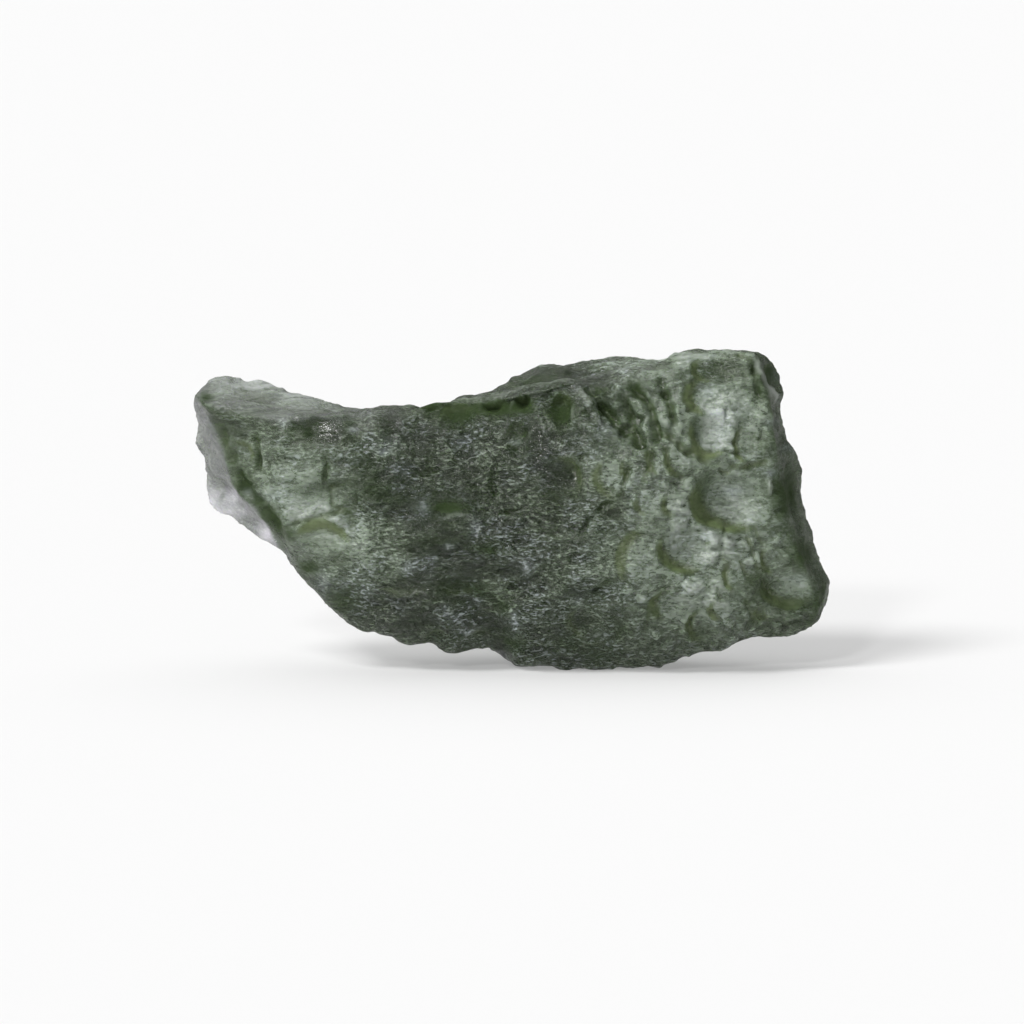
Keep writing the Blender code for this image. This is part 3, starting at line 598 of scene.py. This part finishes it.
def storeMilk(piece, skin):
    # how milky the skin is, how lively its painted glints are, and where its glass is bare or
    # painted with shade on walls and in grooves
    x = skin.x
    ledgeShare = np.maximum(skin.top, 0.4) * skin.seen
    milk = stone["leastMilk"] + addSpots(x, skin.height, milkPatches, skin.front)
    milk += addSpots(skin.spotX, skin.spotUp, ledgePatches, ledgeShare)
    milk += 0.30 * skin.back + 0.12 * skin.top
    patches = softNoise(skin.moved, (1.8, 1.4, 1.2), 17)
    milk += (0.25 * skin.back + 0.30 * skin.turned) * patches
    milk += 0.05 * skin.floor * ease((x - 3) / 4) + 0.07 * skin.pebbleZone * (skin.pebbles - 0.7)
    milk -= 0.25 * skin.stripes
    milk += 0.10 * softNoise(skin.moved, (3.0, 2.0, 1.2), 9)
    storeMask(piece, "milk", milk - 0.5 * skin.window)
    rightCalm = 0.45 * ease((x - 4.0) / 3) * skin.front
    quiet = np.maximum(skin.calm, rightCalm) + 0.5 * skin.wall + 0.5 * skin.groove
    quiet += 0.6 * skin.ribZone + 0.25 * ease((-7 - x) / 2)
    storeMask(piece, "lively", 1 - quiet)
    bare = np.maximum(np.maximum(skin.wall, 0.8 * skin.olive), 0.42 * skin.window)
    storeMask(piece, "wall", blur(bare, skin.edges, 2))


def storeSpots(piece, skin):
    # painted shade in dark places, painted glints, painted highlights on ridge lines, and the
    # painted lilac and white glow of the left end and the ledge
    x = skin.x
    back = skin.back
    leftPale = ease(slantAway(skin.spotX, skin.spotUp, leftEdge, -1) / 0.22)
    dark = np.maximum(skin.dark, 0.85 * skin.rim)
    dark = np.maximum(dark, addSpots(skin.spotX, skin.spotUp, darkSpots, skin.shown))
    # the right end is painted darker, as shade
    dark = np.maximum(dark, 0.55 * skin.rightEnd * (1 - back)) * (1 - leftPale)
    storeMask(piece, "dark", blur(np.clip(dark, 0, 1), skin.edges, 2))
    # glint: painted highlight spots, pale and bluish
    storeMask(piece, "glint", addSpots(skin.spotX, skin.spotUp, glintSpots, skin.shown))
    storeMask(piece, "pale", skin.pale)
    # painted glow over the left end, and painted light on the top of the ledge at its left
    leftPale = np.maximum(leftPale, 0.85 * skin.leftEnd * ease((skin.y + 2 + skin.wobble) / 2))
    ledgePale = 0.7 * skin.top * ease((-4 - x) / 7) * (1 - 0.4 * np.abs(skin.stripes))
    lilac = leftPale * (1 - 0.5 * back) + ledgePale
    storeMask(piece, "lilac", lilac * (1 - 0.9 * dark * (1 - leftPale)))
    storeMask(piece, "white", addSpots(x, skin.height, whiteSpots, leftPale * (1 - 0.7 * back)))


def etchStone(piece):
    skin = lookAround(piece)
    letWander(skin)
    findCalm(skin)
    cutBowls(skin)
    cutLines(skin)
    raiseRidges(skin)
    raiseLumps(skin)
    flow = etchSkin(skin)
    raiseSwells(skin, flow)
    moveSkin(piece, skin)
    storeHollows(piece, skin)
    storeMilk(piece, skin)
    storeSpots(piece, skin)
    print("masks stored,", len(skin.x), "points")


# A socket that can be used in sums: each operator adds a Math node.
class Flow:
    def __init__(self, tree, socket):
        self.tree = tree
        self.socket = socket

    def node(self, kind, settings=None, sockets=None, out=0):
        made = self.tree.nodes.new(kind)
        for name, value in (settings or {}).items():
            setattr(made, name, value)
        for name, value in (sockets or {}).items():
            if isinstance(value, Flow):
                self.tree.links.new(value.socket, made.inputs[name])
            else:
                made.inputs[name].default_value = value
        return Flow(self.tree, made.outputs[out] if made.outputs else None)

    def maths(self, operation, first, second=0.0, clamp=False):
        settings = {"operation": operation, "use_clamp": clamp}
        return self.node("ShaderNodeMath", settings, {0: first, 1: second})

    def __add__(self, other):
        return self.maths("ADD", self, other)

    __radd__ = __add__

    def __mul__(self, other):
        return self.maths("MULTIPLY", self, other)

    __rmul__ = __mul__

    def __sub__(self, other):
        return self.maths("SUBTRACT", self, other)

    def __rsub__(self, other):
        return self.maths("SUBTRACT", other, self)

    def clamped(self):
        # kept between 0 and 1
        return self.maths("ADD", self, 0.0, clamp=True)

    def between(self, low, high):
        # 0 below low, 1 above high, eased in between
        settings = {"interpolation_type": "SMOOTHSTEP"}
        return self.node("ShaderNodeMapRange", settings, {0: self, 1: low, 2: high})

    def mask(self, name):
        return self.node("ShaderNodeAttribute", {"attribute_name": name}, out="Fac")

    def waves(self, where, size, detail, roughness, twist=0.0):
        # soft noise from 0 to 1, of this size in mm
        return self.node("ShaderNodeTexNoise", {"noise_dimensions": "3D"}, {
            "Vector": where, "Scale": 1 / (size * mm), "Detail": detail, "Roughness": roughness,
            "Distortion": twist,
        })

    def stretched(self, where, scale):
        return self.node("ShaderNodeMapping", {}, {"Vector": where, "Scale": scale})

    def blend(self, share, first, second):
        # the first colour at share 0, the second at 1
        settings = {"data_type": "RGBA", "clamp_factor": True}
        return self.node("ShaderNodeMix", settings, {0: share, 6: first, 7: second}, out=2)


# The finish: the patterns' sizes, the bumps and milkDepth are millimetres
finish = {
    "stretch": (0.46, 0.7, 1.0),     # along X, Y and Z: the smaller, the longer a pattern is
    "broadSize": 1.9,
    "broadShare": 0.45,              # how much a pattern changes the milk
    "rippleSize": 0.42,
    "rippleShare": 0.58,
    "dashSize": 0.11,
    "dashShare": 0.5,
    "speckSize": 0.10,
    "hueSize": 1.6,                  # places where the painted glints turn from green to grey
    "glintShare": 0.62,
    "lilacShare": 0.8,
    "darkShare": 0.9,
    "glassBump": 0.16,
    "milkBump": 0.07,
    "milkDepth": 0.3,                # how deep light goes into the milky skin
    "glassRoughness": 0.14,
    "milkRoughness": 0.34,
    "leastSkin": 0.22,               # how much of the clear glass is skin where there is no milk
    "milkSkin": 0.55,                # and how much more where the milk is thick
}


def stonePatterns(start):
    # the masks stored on the skin, and patterns that lie along the etch grain
    names = ("milk", "hollow", "dip", "lively", "dark", "glint", "pale", "lilac", "white")
    look = SimpleNamespace(**{name: start.mask(name) for name in names})
    look.bare = start.mask("wall").between(0.0, 1.0)
    where = start.node("ShaderNodeTexCoord", out="Object")
    lying = start.stretched(where, finish["stretch"])
    look.broad = start.waves(lying, finish["broadSize"], 3.0, 0.55)
    look.dashes = start.waves(lying, finish["dashSize"], 2.0, 0.6, 0.5)
    look.ripples = start.waves(lying, finish["rippleSize"], 2.0, 0.5, 0.7)
    look.speck = start.waves(where, finish["speckSize"], 1.0, 0.6)
    look.hue = start.waves(where, finish["hueSize"], 1.0, 0.5)
    return look


def stoneMilk(look):
    # how milky the skin is, from bare glass at 0 to thick milk at 1: hollows, walls and dark places
    # get less milk, which paints shade into them and leaves them clearer
    cloud = look.milk * 0.96 + (look.broad - 0.5) * finish["broadShare"]
    cloud = cloud - (look.dip - 0.5) * 0.2 - (look.hollow - 0.5) * 0.3
    cloud = cloud + (look.ripples - 0.5) * finish["rippleShare"]
    cloud = (cloud + (look.dashes - 0.5) * finish["dashShare"]).clamped()
    return (cloud * (1 - look.bare * 0.65) * (1 - look.dark * 0.9)).clamped()


def stoneColour(start, look, cloud, live, glints):
    # green glass under grey and pale milk, then walls with painted shade, grain with painted shade
    # in its troughs, painted glints, the painted glow of the left end, painted ridge highlights and
    # painted shade in dark places
    colour = start.blend(cloud.between(0.0, 0.35), stone["deepGreen"], stone["bottleGreen"])
    colour = start.blend(cloud.between(0.15, 0.85), colour, stone["greyMilk"])
    colour = start.blend(cloud.between(0.6, 1.15), colour, stone["paleMilk"])
    colour = start.blend(look.bare * (look.milk * 0.9 + 0.12), colour, stone["wallGreen"])
    troughs = 1 - look.dashes.between(0.34, 0.48)
    colour = start.blend(troughs * live * 0.6, colour, stone["deepGreen"])
    glintHue = look.hue.between(0.42, 0.58)
    glintColour = start.blend(glintHue, stone["glintGreen"], stone["glintGrey"])
    colour = start.blend(glints * finish["glintShare"], colour, glintColour)
    colour = start.blend(look.glint * 0.45, colour, stone["glintGrey"])
    colour = start.blend(look.lilac * finish["lilacShare"], colour, stone["lilac"])
    colour = start.blend(look.pale, colour, stone["paleMilk"])
    colour = start.blend(look.white, colour, stone["lilacWhite"])
    return start.blend(look.dark * finish["darkShare"], colour, stone["deepGreen"])


def milkySkin(start, look, colour, bumpHeight):
    roughness = (finish["milkRoughness"] + look.speck * 0.16 + look.dark * 0.4).clamped()
    bump = start.node("ShaderNodeBump", {}, {
        "Strength": 1.0, "Distance": finish["milkBump"] * mm, "Height": bumpHeight,
    })
    return start.node("ShaderNodeBsdfPrincipled", {}, {
        "Base Color": colour, "Roughness": roughness, "Normal": bump, "IOR": stone["glassIor"],
        "Specular IOR Level": 0.25, "Subsurface Weight": 0.5,
        "Subsurface Radius": (0.8, 1.0, 0.6), "Subsurface Scale": finish["milkDepth"] * mm,
    })


def clearGlass(start, cloud, bumpHeight):
    roughness = finish["glassRoughness"] + cloud * 0.22
    bump = start.node("ShaderNodeBump", {}, {
        "Strength": 1.0, "Distance": finish["glassBump"] * mm, "Height": bumpHeight,
    })
    return start.node("ShaderNodeBsdfPrincipled", {}, {
        "Base Color": stone["glassTint"], "Roughness": roughness, "Normal": bump,
        "IOR": stone["glassIor"], "Transmission Weight": 1.0,
    })


def stoneFinish(piece):
    # clear green glass that swallows light inside, mixed with a milky etched skin whose colour
    # carries painted shade, glints and glow
    material = bpy.data.materials.new("moldaviteFinish")
    material.use_nodes = True
    material.node_tree.nodes.clear()
    start = Flow(material.node_tree, None)
    look = stonePatterns(start)
    cloud = stoneMilk(look)
    live = (look.lively * look.broad.between(0.28, 0.5)).clamped()
    # painted glints on the crests of the etch grain, where the skin is lively, and on the glint
    # spots
    crests = look.dashes.between(0.46, 0.70)
    glints = (crests * live * (1 - look.dark * 0.8) + look.glint * crests * 0.9).clamped()
    colour = stoneColour(start, look, cloud, live, glints)
    bumpHeight = (look.dashes + look.speck * 0.25) * (look.lively * 0.8 + 0.2)
    bumpHeight = bumpHeight + look.ripples * 0.9
    skin = milkySkin(start, look, colour, bumpHeight)
    glass = clearGlass(start, cloud, bumpHeight)
    share = finish["leastSkin"] + cloud * finish["milkSkin"] + glints * 0.3 + look.bare * 0.22
    share = share + look.dark * 0.8 + look.glint * 0.3 + look.white * 0.25 + look.pale * 0.4
    mixed = start.node("ShaderNodeMixShader", {}, {0: share.clamped(), 1: glass, 2: skin})
    body = start.node("ShaderNodeVolumeAbsorption", {}, {
        "Color": stone["absorbColour"], "Density": stone["absorbDensity"],
    })
    start.node("ShaderNodeOutputMaterial", {}, {"Surface": mixed, "Volume": body})
    piece.data.materials.clear()
    piece.data.materials.append(material)
    print("finish made")


studio = {
    "floorSize": 4,
    "floorColour": (0.55, 0.55, 0.55, 1),
    "floorGlow": 0.287,
    "sky": 0.15,
    "key": (2.2, 18, (-0.50, -0.45, 0.74)),      # strength, spread in degrees, where it comes from
    "fill": (0.5, 110, (-0.75, -0.35, 0.60)),
    "glint": (0.8, 7, (-0.28, -0.82, 0.50)),
    "above": (1.2, 80, (0.0, 0.40, 0.92)),
    "cameraDistance": 0.50,
    "cameraAim": (0.0, 0.0, 0.00733),
    "viewWidth": 1024 / 21.2 * mm,               # the photo's 1024 pixels, at 21.2 to a mm
    "sensorWidth": 36,
}


def floorFinish():
    material = bpy.data.materials.new("paleFloorFinish")
    material.use_nodes = True
    shader = material.node_tree.nodes["Principled BSDF"]
    shader.inputs["Base Color"].default_value = studio["floorColour"]
    shader.inputs["Roughness"].default_value = 1.0
    shader.inputs["Specular IOR Level"].default_value = 0.0
    shader.inputs["Emission Color"].default_value = (1, 1, 1, 1)
    shader.inputs["Emission Strength"].default_value = studio["floorGlow"]
    return material


def layFloor():
    bpy.ops.object.select_all(action="DESELECT")
    bpy.ops.mesh.primitive_plane_add(size=studio["floorSize"], location=(0, 0, 0))
    floor = bpy.context.object
    floor.name = "paleFloor"
    floor.data.materials.append(floorFinish())


def makeSky():
    world = bpy.data.worlds.new("studioSky")
    bpy.context.scene.world = world
    world.use_nodes = True
    sky = world.node_tree.nodes["Background"]
    sky.inputs["Color"].default_value = (1, 1, 1, 1)
    sky.inputs["Strength"].default_value = studio["sky"]


def softLight(name):
    strength, spread, comesFrom = studio[name]
    light = bpy.data.lights.new(name + "Light", "SUN")
    light.angle = math.radians(spread)
    light.energy = strength
    lamp = bpy.data.objects.new(name + "Light", light)
    bpy.context.scene.collection.objects.link(lamp)
    lamp.rotation_euler = (-Vector(comesFrom)).to_track_quat("-Z", "Y").to_euler()


def placeCamera():
    data = bpy.data.cameras.new("camera")
    distance = studio["cameraDistance"]
    data.sensor_width = studio["sensorWidth"]
    data.lens = data.sensor_width * distance / studio["viewWidth"]
    data.clip_start = 0.01
    data.clip_end = 10
    camera = bpy.data.objects.new("camera", data)
    bpy.context.scene.collection.objects.link(camera)
    away = Vector((0, -math.cos(viewTilt), math.sin(viewTilt)))
    camera.location = Vector(studio["cameraAim"]) + distance * away
    camera.rotation_euler = (-away).to_track_quat("-Z", "Y").to_euler()
    bpy.context.scene.camera = camera
    bpy.context.scene.view_settings.view_transform = "Standard"


def buildStudio():
    layFloor()
    makeSky()
    for name in ("key", "fill", "glint", "above"):
        softLight(name)
    placeCamera()
    print("studio ready")


piece = fineCopy()
print("fine skin:", len(piece.data.polygons), "faces")
etchStone(piece)
stoneFinish(piece)
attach(piece, "root")
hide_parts("moldavite")
buildStudio()
